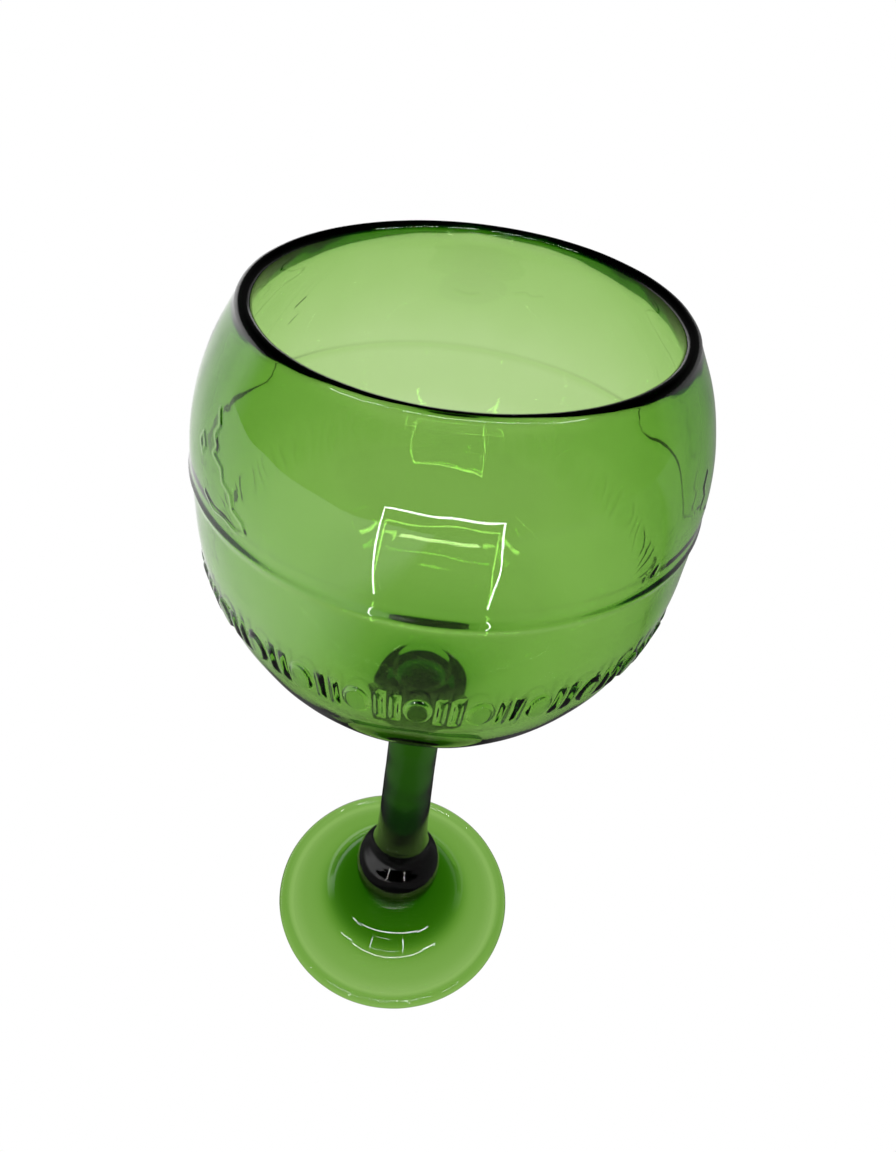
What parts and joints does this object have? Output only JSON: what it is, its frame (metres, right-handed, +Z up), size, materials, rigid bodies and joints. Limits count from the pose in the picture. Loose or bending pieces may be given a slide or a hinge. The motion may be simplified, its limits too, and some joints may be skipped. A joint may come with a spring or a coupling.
{
  "type": "goblet",
  "caption": "Stemmed green glass goblet: an open globe-shaped bowl with a rounded rim and low relief, on a solid stem and a round foot.",
  "frame": {"origin": "centre of the ring that the foot stands on", "axes": "+Z up the stem towards the mouth; the piece is turned about Z, so +X and +Y are free"},
  "size_m": [0.101, 0.101, 0.2037],
  "materials": {
    "bottle_glass": "gloss",
    "stem_glass": "gloss"
  },
  "bodies": {
    "root": {"bowl": "bottle_glass", "neck_gather": "bottle_glass", "stem": "stem_glass", "foot_gather": "stem_glass", "foot": "stem_glass"}
  },
  "joints": []
}
